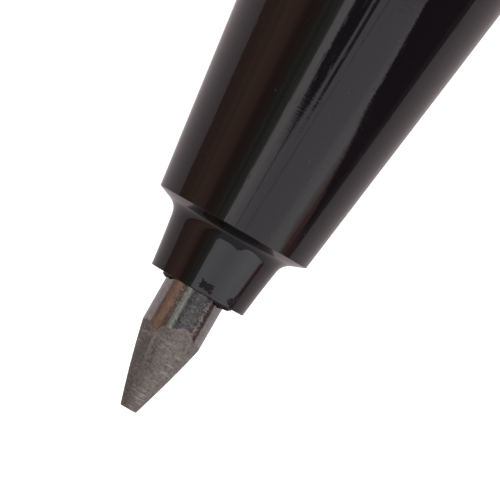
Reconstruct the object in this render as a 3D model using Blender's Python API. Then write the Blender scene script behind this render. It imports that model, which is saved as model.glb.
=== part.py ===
"""Fibre-point technical pen, ready to write, with its cap posted on the tail.

The pen lies along X on one flat of its barrel: nib towards -X, cap towards +X, table
at Z = 0. The origin is under the middle of the pen. Lengths are in metres.
Stations are measured along the pen's axis from the tip of the nib, and stations
of the cap from the cap's mouth, both growing towards the tail.
"""

import math

import bmesh
import bpy
from mathutils import Matrix, Vector

MM = 0.001

# Nib: a round rod of bonded fibre, ground to a blunt cone
NIB_RADIUS = 1.0 * MM
NIB_TIP_RADIUS = 0.275 * MM
NIB_CONE = 2.675 * MM
NIB_CROWNING = 0.028 * MM  # how far the ground cone bulges over a straight one
NIB_BARE = 1.61 * MM  # polished rod showing between the cone and the neck
NIB_PIERCING = 4.2 * MM  # how far the rod's tail runs into the reservoir
NIB_TAIL_POINT = 1.6 * MM
NIB_TAIL_RADIUS = 0.45 * MM

# Bush that grips the nib in the neck
BUSH_WALL = 0.17 * MM
BUSH_LENGTH = 8.0 * MM
BUSH_PROUD = 0.10 * MM

# Nose section: neck, shoulder, tapered grip, cap seat and spigot
NECK_WALL = 0.41 * MM
NECK_LENGTH = 2.32 * MM
NECK_ROOT_SWELL = 0.28 * MM  # how much wider the neck is at its root than at its mouth
NECK_DRAFT = math.radians(9.4)  # slope of the neck where it leaves its root
SHOULDER_WIDTH = 0.70 * MM
SHOULDER_SLOPE = math.radians(21.7)
SHOULDER_FILLET = 0.46 * MM
GRIP_DRAFT = math.radians(7.56)
GRIP_WALL = 0.85 * MM
SEAT_LENGTH = 4.1 * MM
SEAT_BEAD_HEIGHT = 0.03 * MM
SEAT_BEAD_WIDTH = 0.8 * MM
SEAT_BEAD_PLACE = 2.1 * MM  # from the barrel's front face
NOSE_SPIGOT_LENGTH = 7.0 * MM
NOSE_SPIGOT_WALL = 0.75 * MM

# Reservoir
CORE_RADIUS = 2.85 * MM
FILM_WALL = 0.15 * MM
BREATHER_RADIUS = 0.45 * MM
BREATHER_BORE = 0.25 * MM
BREATHER_PROUD = 0.25 * MM  # how far the air tube stands out of the ends of the reservoir

# Barrel: a six-sided tube with a round tail that the cap is posted on
BARREL_LENGTH = 83.0 * MM
BARREL_CORNER = 1.3 * MM
BARREL_CHAMFER = math.radians(35.0)
TAIL_LENGTH = 11.0 * MM
TAIL_WALL = 0.80 * MM
TAIL_LEAD = 0.5 * MM
RIB_COUNT = 6
RIB_HEIGHT = 0.35 * MM
RIB_WIDTH = 0.7 * MM

# End plug
PLUG_STEM = 5.45 * MM
PLUG_HEAD = 1.0 * MM
PLUG_HEAD_INSET = 0.25 * MM
PLUG_WALL = 0.75 * MM
PLUG_FLOOR = 1.2 * MM
PLUG_NOTCH_COUNT = 4
PLUG_NOTCH_WIDTH = 1.4 * MM
PLUG_NOTCH_DEPTH = 2.2 * MM

# Cap shell
CAP_LENGTH = 42.0 * MM
CAP_WALL = 0.80 * MM
CAP_TAPER = 0.20 * MM  # radius lost from mouth to crown
CAP_LIP_HEIGHT = 0.12 * MM
CAP_LIP_WIDTH = 1.6 * MM
CAP_SEAT_WALL = 0.40 * MM  # step inside the shell that stops the inner cap
CAP_GROOVE_DEPTH = 0.06 * MM
CAP_TABLE_GAP = 0.08 * MM  # the cap's lip stays clear of the table that the barrel lies on
POSTING_GAP = 0.30 * MM

# Inner cap: the cup that keeps the nib moist
INNER_WALL = 0.70 * MM
INNER_NIB_ROOM = 1.2 * MM  # beyond the tip of the nib
INNER_FLOOR = 0.9 * MM
INNER_SKIRT_WALL = 0.45 * MM
INNER_SKIRT_LENGTH = 7.5 * MM
INNER_WEB = 1.0 * MM
INNER_RIM_SETBACK = 0.4 * MM

# Crown that closes the cap, and its colour disc
CROWN_HEAD = 3.5 * MM
CROWN_SPIGOT_LENGTH = 7.0 * MM
CROWN_WALL = 0.9 * MM
CROWN_FLOOR = 1.4 * MM
CROWN_EDGE = 0.6 * MM
DISC_RADIUS = 3.0 * MM
DISC_THICKNESS = 0.7 * MM
DISC_PROUD = 0.1 * MM
DISC_PIN_RADIUS = 0.8 * MM
DISC_PIN_LENGTH = 1.2 * MM
DISC_RIM_GAP = 0.4 * MM
VENT_COUNT = 3
CROWN_VENT_RADIUS = 0.55 * MM
WEB_VENT_EDGE = 0.1 * MM  # web left on each side of its vents

# Clip: a strip of spring steel
CLIP_THICKNESS = 0.45 * MM
CLIP_WIDTH = 3.2 * MM
CLIP_TIP_WIDTH = 2.4 * MM
CLIP_LENGTH = 31.0 * MM
CLIP_ROOT_RISE = 1.1 * MM  # arm above the shell at the root
CLIP_BUMP_GAP = 0.10 * MM
CLIP_TIP_RISE = 0.9 * MM
CLIP_BUMP_TO_TIP = 3.4 * MM
CLIP_SLOT_GAP = 0.30 * MM
CLIP_ROOT_PLACE = 3.2 * MM  # from the shell's crown end
CLIP_BEND = 0.8 * MM
CLIP_HEEL = 0.35 * MM
CLIP_FOOT_LENGTH = 1.8 * MM
CLIP_FOOT_DROP = 0.10 * MM  # gap over the corners of the foot

# Fits
PRESS_GAP = 0.03 * MM
SLIDE_GAP = 0.06 * MM
FACE_GAP = 0.05 * MM
LOOSE_GAP = 0.10 * MM
RESERVOIR_GAP = 0.30 * MM

FACETS = 40
CORE_FACETS = 24
BREATHER_FACETS = 12
ARC_STEPS = 5

# Radii that follow from the sizes above
BUSH_BORE = NIB_RADIUS + PRESS_GAP
BUSH_RADIUS = BUSH_BORE + BUSH_WALL
NOSE_BORE = BUSH_RADIUS + PRESS_GAP
NECK_MOUTH_RADIUS = NOSE_BORE + NECK_WALL
NECK_ROOT_RADIUS = NECK_MOUTH_RADIUS + NECK_ROOT_SWELL
SHOULDER_RADIUS = NECK_ROOT_RADIUS + SHOULDER_WIDTH
BREATHER_PLACE = CORE_RADIUS - BREATHER_RADIUS - FACE_GAP
FILM_BORE = CORE_RADIUS + FACE_GAP
FILM_RADIUS = FILM_BORE + FILM_WALL
BARREL_BORE = FILM_RADIUS + LOOSE_GAP + RIB_HEIGHT
SEAT_RADIUS = BARREL_BORE + TAIL_WALL
NOSE_SPIGOT_RADIUS = BARREL_BORE - PRESS_GAP
CAP_BORE = SEAT_RADIUS + SLIDE_GAP
CAP_RADIUS = CAP_BORE + CAP_WALL
CAP_LIP_RADIUS = CAP_RADIUS + CAP_LIP_HEIGHT
CAP_CROWN_RADIUS = CAP_RADIUS - CAP_TAPER
CAP_INNER_SEAT = CAP_BORE - CAP_SEAT_WALL
BARREL_FLAT = CAP_LIP_RADIUS + CAP_TABLE_GAP

# Stations along the pen, from the tip of the nib
NECK_MOUTH = NIB_CONE + NIB_BARE
SHOULDER = NECK_MOUTH + NECK_LENGTH
GRIP_END = SHOULDER + (SEAT_RADIUS - SHOULDER_RADIUS) / math.tan(GRIP_DRAFT)
BARREL_FRONT = GRIP_END + SEAT_LENGTH
NOSE_REAR = BARREL_FRONT + NOSE_SPIGOT_LENGTH
RESERVOIR_FRONT = NOSE_REAR + RESERVOIR_GAP
NIB_REAR = RESERVOIR_FRONT + NIB_PIERCING
BARREL_REAR = BARREL_FRONT + BARREL_LENGTH
TAIL_END = BARREL_REAR + TAIL_LENGTH
PLUG_FRONT = TAIL_END + FACE_GAP - PLUG_STEM
RESERVOIR_REAR = PLUG_FRONT - RESERVOIR_GAP
CAP_MOUTH = BARREL_REAR + POSTING_GAP

# Stations along the cap, from its mouth
CAPPED_SHOULDER = BARREL_FRONT - SHOULDER
CAPPED_NIB = BARREL_FRONT
INNER_RIM = CAPPED_SHOULDER + INNER_RIM_SETBACK
INNER_CUP_FLOOR = CAPPED_NIB + INNER_NIB_ROOM
INNER_END = INNER_CUP_FLOOR + INNER_FLOOR
CROWN_FACE = CAP_LENGTH + FACE_GAP + CROWN_HEAD
CAP_END = CROWN_FACE + DISC_PROUD

PEN_LENGTH = CAP_MOUTH + CAP_END
AXIS_HEIGHT = BARREL_FLAT


def clear_scene():
    for item in list(bpy.data.objects):
        bpy.data.objects.remove(item)


def plastic(name, colour, roughness, metallic=0.0):
    """A Principled material of one colour."""
    material = bpy.data.materials.new(name)
    material.use_nodes = True
    shader = material.node_tree.nodes["Principled BSDF"]
    shader.inputs["Base Color"].default_value = (*colour, 1.0)
    shader.inputs["Roughness"].default_value = roughness
    shader.inputs["Metallic"].default_value = metallic
    material.diffuse_color = (*colour, 1.0)
    return material


def empty(name, parent, location):
    holder = bpy.data.objects.new(name, None)
    bpy.context.scene.collection.objects.link(holder)
    holder.parent = parent
    holder.location = location
    return holder


def piece(name, mesh, parent, material=None, location=(0.0, 0.0, 0.0)):
    """A named object. Without a material it is a cutter or a helper, which isn't rendered."""
    made = bpy.data.objects.new(name, mesh)
    bpy.context.scene.collection.objects.link(made)
    made.parent = parent
    made.location = location
    if material:
        mesh.materials.append(material)
    else:
        made.hide_render = True
        made.display_type = "WIRE"
    return made


def finished_mesh(name, bm):
    """The bmesh as a mesh with its faces turned outwards and its round faces smooth."""
    bmesh.ops.recalc_face_normals(bm, faces=bm.faces)
    mesh = bpy.data.meshes.new(name)
    bm.to_mesh(mesh)
    bm.free()
    mesh.shade_smooth()
    mesh.set_sharp_from_angle(angle=math.radians(30))
    return mesh


def turned(name, outline, facets=FACETS):
    """Mesh of an outline of (station, radius) points, spun once round the pen's axis."""
    bm = bmesh.new()
    corners = [bm.verts.new((station, 0.0, radius)) for station, radius in outline]
    edges = [
        bm.edges.new((a, b))
        for a, b in zip(corners, corners[1:] + corners[:1])
        if a.co.z > 0.0 or b.co.z > 0.0
    ]
    bmesh.ops.spin(
        bm,
        geom=corners + edges,
        cent=(0.0, 0.0, 0.0),
        axis=(1.0, 0.0, 0.0),
        angle=math.tau,
        steps=facets,
        use_merge=True,
    )
    bmesh.ops.remove_doubles(bm, verts=bm.verts, dist=0.0001 * MM)
    return finished_mesh(name, bm)


def prism(name, section, start, end):
    """Mesh of a closed (y, z) section, drawn along the axis from start to end."""
    bm = bmesh.new()
    ring = [bm.verts.new((start, y, z)) for y, z in section]
    face = bm.faces.new(ring)
    swept = bmesh.ops.extrude_face_region(bm, geom=[face])["geom"]
    moved = [item for item in swept if isinstance(item, bmesh.types.BMVert)]
    bmesh.ops.translate(bm, verts=moved, vec=(end - start, 0.0, 0.0))
    return finished_mesh(name, bm)


def blocks(name, boxes):
    """Mesh of separate boxes, each given by its centre, its size and its turn about the axis."""
    bm = bmesh.new()
    for centre, size, turn in boxes:
        place = (
            Matrix.Rotation(turn, 4, "X")
            @ Matrix.Translation(centre)
            @ Matrix.Diagonal((*size, 1.0))
        )
        bmesh.ops.create_cube(bm, size=1.0, matrix=place)
    return finished_mesh(name, bm)


def rods(name, start, end, distance, radius, count):
    """Mesh of round rods along the axis, spaced evenly round it."""
    bm = bmesh.new()
    for number in range(count):
        turn = math.tau * (number + 0.5) / count
        centre = Vector(((start + end) / 2, distance * math.sin(turn), distance * math.cos(turn)))
        place = Matrix.Translation(centre) @ Matrix.Rotation(math.pi / 2, 4, "Y")
        bmesh.ops.create_cone(
            bm,
            cap_ends=True,
            segments=12,
            radius1=radius,
            radius2=radius,
            depth=end - start,
            matrix=place,
        )
    return finished_mesh(name, bm)


def boolean(target, tool, operation):
    modifier = target.modifiers.new(tool.name, "BOOLEAN")
    modifier.operation = operation
    modifier.object = tool
    modifier.solver = "EXACT"


def arc(centre, radius, start, end, steps=ARC_STEPS):
    """Points of a (station, radius) arc, from one angle to another. Angle 0 points to the tail."""
    turns = [start + (end - start) * step / steps for step in range(steps + 1)]
    return [
        (centre[0] + radius * math.cos(turn), centre[1] + radius * math.sin(turn)) for turn in turns
    ]


def nib_cone_outline():
    """The ground cone from tip to rod, a little fuller than a straight one."""
    points = []
    for step in range(ARC_STEPS + 1):
        share = step / ARC_STEPS
        straight = NIB_TIP_RADIUS + (NIB_RADIUS - NIB_TIP_RADIUS) * share
        points.append((NIB_CONE * share, straight + 4 * NIB_CROWNING * share * (1 - share)))
    return points


def nib(parent, fibre):
    outline = [(0.0, 0.0)] + nib_cone_outline()
    outline += [
        (NIB_REAR - NIB_TAIL_POINT, NIB_RADIUS),
        (NIB_REAR, NIB_TAIL_RADIUS),
        (NIB_REAR, 0.0),
    ]
    piece("nib", turned("nib", outline), parent, fibre)


def nib_bush(parent, material):
    front = NECK_MOUTH - BUSH_PROUD
    rear = front + BUSH_LENGTH
    round_off = BUSH_WALL / 3
    outline = [
        (front, BUSH_BORE),
        (front, BUSH_RADIUS - round_off),
        (front + round_off, BUSH_RADIUS),
        (rear, BUSH_RADIUS),
        (rear, BUSH_BORE),
    ]
    piece("nib_bush", turned("nib_bush", outline), parent, material)


def neck_outline():
    """The neck from its mouth to its root: straight at the mouth, sweeping out to its full slope."""
    fillet_turn = math.pi / 2 - SHOULDER_SLOPE - NECK_DRAFT
    tangent = SHOULDER_FILLET * math.tan(fillet_turn / 2)
    # The neck's slope and the shoulder's slope would meet at this corner.
    corner = (
        SHOULDER - SHOULDER_WIDTH * math.tan(SHOULDER_SLOPE),
        NECK_ROOT_RADIUS,
    )
    neck_end = (
        corner[0] - tangent * math.cos(NECK_DRAFT),
        corner[1] - tangent * math.sin(NECK_DRAFT),
    )
    run = neck_end[0] - NECK_MOUTH
    bend = (NECK_MOUTH_RADIUS - neck_end[1] + run * math.tan(NECK_DRAFT)) / run**2
    points = []
    for step in range(ARC_STEPS):
        back = run * (1 - step / ARC_STEPS)
        radius = neck_end[1] - back * math.tan(NECK_DRAFT) + bend * back**2
        points.append((neck_end[0] - back, radius))
    centre = (
        neck_end[0] - SHOULDER_FILLET * math.sin(NECK_DRAFT),
        neck_end[1] + SHOULDER_FILLET * math.cos(NECK_DRAFT),
    )
    start = NECK_DRAFT - math.pi / 2
    return points + arc(centre, SHOULDER_FILLET, start, start + fillet_turn)


def bead_outline(middle, base, height, width):
    """A rounded ring standing on a round surface."""
    half = width / 2
    return [
        (middle - half, base),
        (middle - half / 2, base + 0.75 * height),
        (middle, base + height),
        (middle + half / 2, base + 0.75 * height),
        (middle + half, base),
    ]


def nose_section(parent, material):
    bead = BARREL_FRONT - SEAT_BEAD_PLACE
    bush_seat = NECK_MOUTH + BUSH_LENGTH
    inner_radius = NOSE_SPIGOT_RADIUS - NOSE_SPIGOT_WALL
    wall_along = GRIP_WALL / math.cos(GRIP_DRAFT)
    hollow_start = bush_seat + 2 * GRIP_WALL
    hollow_radius = min(
        inner_radius,
        SHOULDER_RADIUS + (hollow_start - SHOULDER) * math.tan(GRIP_DRAFT) - wall_along,
    )
    hollow_full = hollow_start + (inner_radius - hollow_radius) / math.tan(GRIP_DRAFT)
    outline = [(NECK_MOUTH, NOSE_BORE)]
    outline += neck_outline()
    outline += [
        (SHOULDER, SHOULDER_RADIUS),
        (GRIP_END, SEAT_RADIUS),
    ]
    outline += bead_outline(bead, SEAT_RADIUS, SEAT_BEAD_HEIGHT, SEAT_BEAD_WIDTH)
    outline += [
        (BARREL_FRONT - FACE_GAP, SEAT_RADIUS),
        (BARREL_FRONT - FACE_GAP, NOSE_SPIGOT_RADIUS),
        (NOSE_REAR - TAIL_LEAD, NOSE_SPIGOT_RADIUS),
        (NOSE_REAR, NOSE_SPIGOT_RADIUS - TAIL_LEAD / 2),
        (NOSE_REAR, inner_radius),
        (hollow_full, inner_radius),
        (hollow_start, hollow_radius),
        (bush_seat, NOSE_BORE),
    ]
    piece("nose_section", turned("nose_section", outline), parent, material)


def reservoir(parent, wool, film, tube):
    pocket_radius = NIB_RADIUS + LOOSE_GAP
    pocket_end = NIB_REAR + RESERVOIR_GAP
    core = [
        (RESERVOIR_FRONT, pocket_radius),
        (RESERVOIR_FRONT, CORE_RADIUS),
        (RESERVOIR_REAR, CORE_RADIUS),
        (RESERVOIR_REAR, 0.0),
        (pocket_end, 0.0),
        (pocket_end, pocket_radius),
    ]
    made = piece("reservoir_core", turned("reservoir_core", core, CORE_FACETS), parent, wool)
    overrun = RESERVOIR_GAP
    width = 2 * (BREATHER_RADIUS + FACE_GAP)
    middle = (RESERVOIR_FRONT + RESERVOIR_REAR) / 2
    centre = Vector((middle, 0.0, BREATHER_PLACE + BREATHER_RADIUS))
    length = RESERVOIR_REAR - RESERVOIR_FRONT + 2 * overrun
    size = (length, width, width + 2 * BREATHER_RADIUS)
    groove = blocks("core_groove", [(centre, size, 0.0)])
    boolean(made, piece("core_groove", groove, parent), "DIFFERENCE")

    sleeve = [
        (RESERVOIR_FRONT, FILM_BORE),
        (RESERVOIR_FRONT, FILM_RADIUS),
        (RESERVOIR_REAR, FILM_RADIUS),
        (RESERVOIR_REAR, FILM_BORE),
    ]
    piece("reservoir_film", turned("reservoir_film", sleeve, CORE_FACETS), parent, film)

    breather = [
        (RESERVOIR_FRONT - BREATHER_PROUD, BREATHER_BORE),
        (RESERVOIR_FRONT - BREATHER_PROUD, BREATHER_RADIUS),
        (RESERVOIR_REAR + BREATHER_PROUD, BREATHER_RADIUS),
        (RESERVOIR_REAR + BREATHER_PROUD, BREATHER_BORE),
    ]
    mesh = turned("breather_tube", breather, BREATHER_FACETS)
    piece("breather_tube", mesh, parent, tube, location=(0.0, 0.0, BREATHER_PLACE))


def hexagon_section():
    """Six flats with rounded corners, one flat facing down."""
    reach = BARREL_FLAT - BARREL_CORNER
    points = []
    for side in range(6):
        middle = math.tau * (side + 0.5) / 6
        centre = Vector((math.cos(middle), math.sin(middle))) * reach / math.cos(math.pi / 6)
        for step in range(ARC_STEPS + 1):
            turn = middle + math.tau / 6 * (step / ARC_STEPS - 0.5)
            offset = Vector((math.cos(turn), math.sin(turn))) * BARREL_CORNER
            corner = centre + offset
            points.append((corner.y, corner.x))
    return points


def barrel(parent, material):
    flats = prism("barrel", hexagon_section(), BARREL_FRONT, BARREL_REAR)
    made = piece("barrel", flats, parent, material)

    corner_radius = BARREL_FLAT / math.cos(math.pi / 6)
    end_radius = (SEAT_RADIUS + BARREL_FLAT) / 2
    chamfer = (corner_radius - end_radius) / math.tan(BARREL_CHAMFER)
    envelope = [
        (BARREL_FRONT, 0.0),
        (BARREL_FRONT, end_radius),
        (BARREL_FRONT + chamfer, corner_radius),
        (BARREL_REAR - chamfer, corner_radius),
        (BARREL_REAR, end_radius),
        (BARREL_REAR, 0.0),
    ]
    boolean(made, piece("end_chamfers", turned("end_chamfers", envelope), parent), "INTERSECT")

    buried = TAIL_LENGTH / 4
    tail = [
        (BARREL_REAR - buried, 0.0),
        (BARREL_REAR - buried, SEAT_RADIUS),
        (TAIL_END - TAIL_LEAD, SEAT_RADIUS),
        (TAIL_END, SEAT_RADIUS - TAIL_LEAD / 2),
        (TAIL_END, 0.0),
    ]
    boolean(made, piece("tail_stock", turned("tail_stock", tail), parent), "UNION")

    overrun = 1.0 * MM
    bore = [
        (BARREL_FRONT - overrun, 0.0),
        (BARREL_FRONT - overrun, BARREL_BORE),
        (TAIL_END + overrun, BARREL_BORE),
        (TAIL_END + overrun, 0.0),
    ]
    boolean(made, piece("bore_cutter", turned("bore_cutter", bore), parent), "DIFFERENCE")

    start = RESERVOIR_FRONT + RESERVOIR_GAP
    end = RESERVOIR_REAR - RESERVOIR_GAP
    root = TAIL_WALL / 2
    size = (end - start, RIB_WIDTH, RIB_HEIGHT + root)
    centre = Vector(((start + end) / 2, 0.0, BARREL_BORE + (root - RIB_HEIGHT) / 2))
    turns = [math.tau * number / RIB_COUNT for number in range(RIB_COUNT)]
    ribs = blocks("bore_ribs", [(centre, size, turn) for turn in turns])
    boolean(made, piece("bore_ribs", ribs, parent), "UNION")


def end_plug(parent, material):
    stem_radius = BARREL_BORE - PRESS_GAP
    head_start = TAIL_END + FACE_GAP
    head_radius = SEAT_RADIUS - PLUG_HEAD_INSET
    edge = PLUG_HEAD / 3
    outline = [
        (PLUG_FRONT, stem_radius - PLUG_WALL),
        (PLUG_FRONT, stem_radius - TAIL_LEAD / 2),
        (PLUG_FRONT + TAIL_LEAD, stem_radius),
        (head_start, stem_radius),
        (head_start, head_radius),
        (head_start + PLUG_HEAD - edge, head_radius),
        (head_start + PLUG_HEAD, head_radius - edge),
        (head_start + PLUG_HEAD, 0.0),
        (head_start + PLUG_HEAD - PLUG_FLOOR, 0.0),
        (head_start + PLUG_HEAD - PLUG_FLOOR, stem_radius - PLUG_WALL),
    ]
    made = piece("end_plug", turned("end_plug", outline), parent, material)
    size = (2 * PLUG_NOTCH_DEPTH, PLUG_NOTCH_WIDTH, 2 * BARREL_BORE)
    centre = Vector((PLUG_FRONT, 0.0, BARREL_BORE))
    turns = [math.tau * (number + 0.5) / PLUG_NOTCH_COUNT for number in range(PLUG_NOTCH_COUNT)]
    notches = blocks("plug_notches", [(centre, size, turn) for turn in turns])
    boolean(made, piece("plug_notches", notches, parent), "DIFFERENCE")


def shell_radius(station):
    """Outer radius of the cap shell at a station of the cap."""
    return CAP_RADIUS - CAP_TAPER * station / CAP_LENGTH


def clip_root():
    """Station of the middle of the clip's tongue."""
    return CAP_LENGTH - CLIP_ROOT_PLACE


def cap_shell(parent, material):
    groove = bead_outline(SEAT_BEAD_PLACE, CAP_BORE, CAP_GROOVE_DEPTH, 1.4 * SEAT_BEAD_WIDTH)
    seat_start = INNER_RIM - INNER_RIM_SETBACK
    outline = [
        (0.0, CAP_BORE),
        (0.0, CAP_LIP_RADIUS - CAP_LIP_HEIGHT / 2),
        (CAP_LIP_HEIGHT / 2, CAP_LIP_RADIUS),
        (CAP_LIP_WIDTH - CAP_LIP_HEIGHT, CAP_LIP_RADIUS),
        (CAP_LIP_WIDTH, shell_radius(CAP_LIP_WIDTH)),
        (CAP_LENGTH, CAP_CROWN_RADIUS),
        (CAP_LENGTH, CAP_INNER_SEAT),
        (seat_start, CAP_INNER_SEAT),
        (seat_start, CAP_BORE),
    ]
    outline += reversed(groove)
    made = piece("cap_shell", turned("cap_shell", outline), parent, material)
    slot_length = CLIP_THICKNESS + 2 * CLIP_SLOT_GAP
    slot_width = CLIP_WIDTH + 2 * CLIP_SLOT_GAP
    centre = Vector((clip_root(), 0.0, CAP_RADIUS))
    size = (slot_length, slot_width, 2 * (CAP_RADIUS - CAP_INNER_SEAT) + CAP_WALL)
    slot = blocks("clip_slot", [(centre, size, 0.0)])
    boolean(made, piece("clip_slot", slot, parent), "DIFFERENCE")


def inner_cap(parent, material):
    cup_bore = NECK_ROOT_RADIUS + SLIDE_GAP
    cup_radius = cup_bore + INNER_WALL
    skirt_radius = CAP_INNER_SEAT - PRESS_GAP
    skirt_bore = skirt_radius - INNER_SKIRT_WALL
    skirt_start = INNER_RIM
    skirt_end = skirt_start + INNER_SKIRT_LENGTH
    web_start = (skirt_start + skirt_end) / 2
    web_end = web_start + INNER_WEB
    outline = [
        (INNER_RIM, cup_bore),
        (INNER_RIM, cup_radius),
        (web_start, cup_radius),
        (web_start, skirt_bore),
        (skirt_start, skirt_bore),
        (skirt_start, skirt_radius),
        (skirt_end, skirt_radius),
        (skirt_end, skirt_bore),
        (web_end, skirt_bore),
        (web_end, cup_radius),
        (INNER_END, cup_radius),
        (INNER_END, 0.0),
        (INNER_CUP_FLOOR, 0.0),
        (INNER_CUP_FLOOR, cup_bore),
    ]
    made = piece("inner_cap", turned("inner_cap", outline), parent, material)
    distance = (cup_radius + skirt_bore) / 2
    radius = (skirt_bore - cup_radius) / 2 - WEB_VENT_EDGE
    start = web_start - INNER_WEB
    end = web_end + INNER_WEB
    vents = rods("web_vents", start, end, distance, radius, VENT_COUNT)
    boolean(made, piece("web_vents", vents, parent), "DIFFERENCE")


def cap_crown(parent, material):
    head_start = CAP_LENGTH + FACE_GAP
    spigot_radius = CAP_INNER_SEAT - PRESS_GAP
    spigot_start = head_start - CROWN_SPIGOT_LENGTH
    spigot_bore = spigot_radius - CROWN_WALL
    recess_radius = DISC_RADIUS + DISC_RIM_GAP
    recess_floor = CROWN_FACE + DISC_PROUD - DISC_THICKNESS - FACE_GAP
    hollow_end = recess_floor - CROWN_FLOOR
    head_radius = CAP_CROWN_RADIUS
    edge_centre = (CROWN_FACE - CROWN_EDGE, head_radius - CROWN_EDGE)
    pin_bore = DISC_PIN_RADIUS + PRESS_GAP
    outline = [
        (spigot_start, spigot_bore),
        (spigot_start, spigot_radius),
        (head_start, spigot_radius),
        (head_start, head_radius),
    ]
    outline += arc(edge_centre, CROWN_EDGE, math.pi / 2, 0.0)
    outline += [
        (CROWN_FACE, recess_radius),
        (recess_floor, recess_radius),
        (recess_floor, pin_bore),
        (hollow_end, pin_bore),
        (hollow_end, spigot_bore),
    ]
    made = piece("cap_crown", turned("cap_crown", outline), parent, material)
    distance = (pin_bore + recess_radius) / 2
    start = hollow_end - CROWN_FLOOR
    end = recess_floor + CROWN_FLOOR
    vents = rods("crown_vents", start, end, distance, CROWN_VENT_RADIUS, VENT_COUNT)
    boolean(made, piece("crown_vents", vents, parent), "DIFFERENCE")

    # The clip's foot rocks in this window, behind the shell.
    front = clip_root() - CLIP_THICKNESS / 2 - CLIP_SLOT_GAP
    back = clip_root() + CLIP_FOOT_LENGTH + CLIP_SLOT_GAP
    centre = Vector(((front + back) / 2, 0.0, spigot_radius))
    size = (back - front, CLIP_WIDTH + 2 * CLIP_SLOT_GAP, 2 * spigot_radius)
    window = blocks("foot_window", [(centre, size, 0.0)])
    boolean(made, piece("foot_window", window, parent), "DIFFERENCE")


def crown_disc(parent, material):
    back = CAP_END - DISC_THICKNESS
    edge = DISC_THICKNESS / 4
    outline = [
        (back - DISC_PIN_LENGTH, 0.0),
        (back - DISC_PIN_LENGTH, DISC_PIN_RADIUS),
        (back, DISC_PIN_RADIUS),
        (back, DISC_RADIUS),
        (CAP_END - edge, DISC_RADIUS),
        (CAP_END, DISC_RADIUS - edge),
        (CAP_END, 0.0),
    ]
    piece("crown_disc", turned("crown_disc", outline), parent, material)


def clip_line():
    """Middle line of the clip as (station, height above the axis), from its foot to its tip."""
    half = CLIP_THICKNESS / 2
    root = clip_root()
    arm_height = shell_radius(root) + CLIP_ROOT_RISE + half
    # The foot is flat, so its corners are the first to meet the round inside of the shell.
    foot_height = math.sqrt(CAP_INNER_SEAT**2 - (CLIP_WIDTH / 2) ** 2) - CLIP_FOOT_DROP - half
    tip = root - CLIP_LENGTH
    bump = tip + CLIP_BUMP_TO_TIP
    bump_height = shell_radius(bump) + CLIP_BUMP_GAP + half
    tip_height = shell_radius(tip) + CLIP_TIP_RISE + half
    bend = arc((root - CLIP_BEND, arm_height - CLIP_BEND), CLIP_BEND, 0.0, math.pi / 2)
    heel = arc((root + CLIP_HEEL, foot_height + CLIP_HEEL), CLIP_HEEL, -math.pi / 2, -math.pi)
    line = [(root + CLIP_FOOT_LENGTH, foot_height)] + heel + bend
    arm_start = bend[-1]
    for step in range(1, 2 * ARC_STEPS + 1):
        share = step / (2 * ARC_STEPS)
        fall = share**3 * (3 - 2 * share)
        station = arm_start[0] + (bump - arm_start[0]) * share
        line.append((station, arm_height + (bump_height - arm_height) * fall))
    for step in range(1, ARC_STEPS + 1):
        share = step / ARC_STEPS
        station = bump + (tip - bump) * share
        line.append((station, bump_height + (tip_height - bump_height) * share**2))
    return line


def clip(parent, material):
    """Steel strip, swept along its middle line. Its origin is on the edge it rocks on."""
    line = clip_line()
    root = Vector((clip_root(), 0.0, shell_radius(clip_root())))
    length = line[0][0] - line[-1][0]
    bm = bmesh.new()
    rings = []
    for number, (station, height) in enumerate(line):
        before = Vector(line[max(number - 1, 0)])
        after = Vector(line[min(number + 1, len(line) - 1)])
        along = (after - before).normalized()
        across = Vector((-along.y, along.x)) * CLIP_THICKNESS / 2
        share = (line[0][0] - station) / length
        half_width = (CLIP_WIDTH + (CLIP_TIP_WIDTH - CLIP_WIDTH) * share) / 2
        ring = []
        for side, face in ((-1, -1), (1, -1), (1, 1), (-1, 1)):
            point = Vector((station, side * half_width, height))
            point += Vector((across.x, 0.0, across.y)) * face
            ring.append(bm.verts.new(point - root))
        rings.append(ring)
    bm.faces.new(rings[0])
    bm.faces.new(rings[-1])
    for first, second in zip(rings, rings[1:]):
        for side in range(4):
            after = (side + 1) % 4
            bm.faces.new((first[side], first[after], second[after], second[side]))
    piece("clip", finished_mesh("clip", bm), parent, material, location=root)


def build():
    clear_scene()
    black = plastic("black_moulded_plastic", (0.012, 0.011, 0.012), 0.12)
    fibre = plastic("ground_fibre", (0.10, 0.088, 0.08), 0.5)
    bush_black = plastic("black_bush_plastic", (0.02, 0.018, 0.02), 0.4)
    wool = plastic("ink_soaked_wool", (0.03, 0.03, 0.04), 0.9)
    film = plastic("clear_film", (0.75, 0.76, 0.78), 0.15)
    tube = plastic("breather_plastic", (0.6, 0.6, 0.58), 0.4)
    liner = plastic("white_liner_plastic", (0.72, 0.72, 0.70), 0.45)
    steel = plastic("spring_steel", (0.62, 0.62, 0.63), 0.25, metallic=1.0)
    grey = plastic("grey_disc_plastic", (0.20, 0.20, 0.21), 0.3)

    pen_axis = empty("pen_axis", None, (-PEN_LENGTH / 2, 0.0, AXIS_HEIGHT))
    nib(pen_axis, fibre)
    nib_bush(pen_axis, bush_black)
    nose_section(pen_axis, black)
    reservoir(pen_axis, wool, film, tube)
    barrel(pen_axis, black)
    end_plug(pen_axis, black)

    cap_axis = empty("cap_axis", pen_axis, (CAP_MOUTH, 0.0, 0.0))
    cap_shell(cap_axis, black)
    inner_cap(cap_axis, liner)
    cap_crown(cap_axis, black)
    crown_disc(cap_axis, grey)
    clip(cap_axis, steel)


build()
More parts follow.
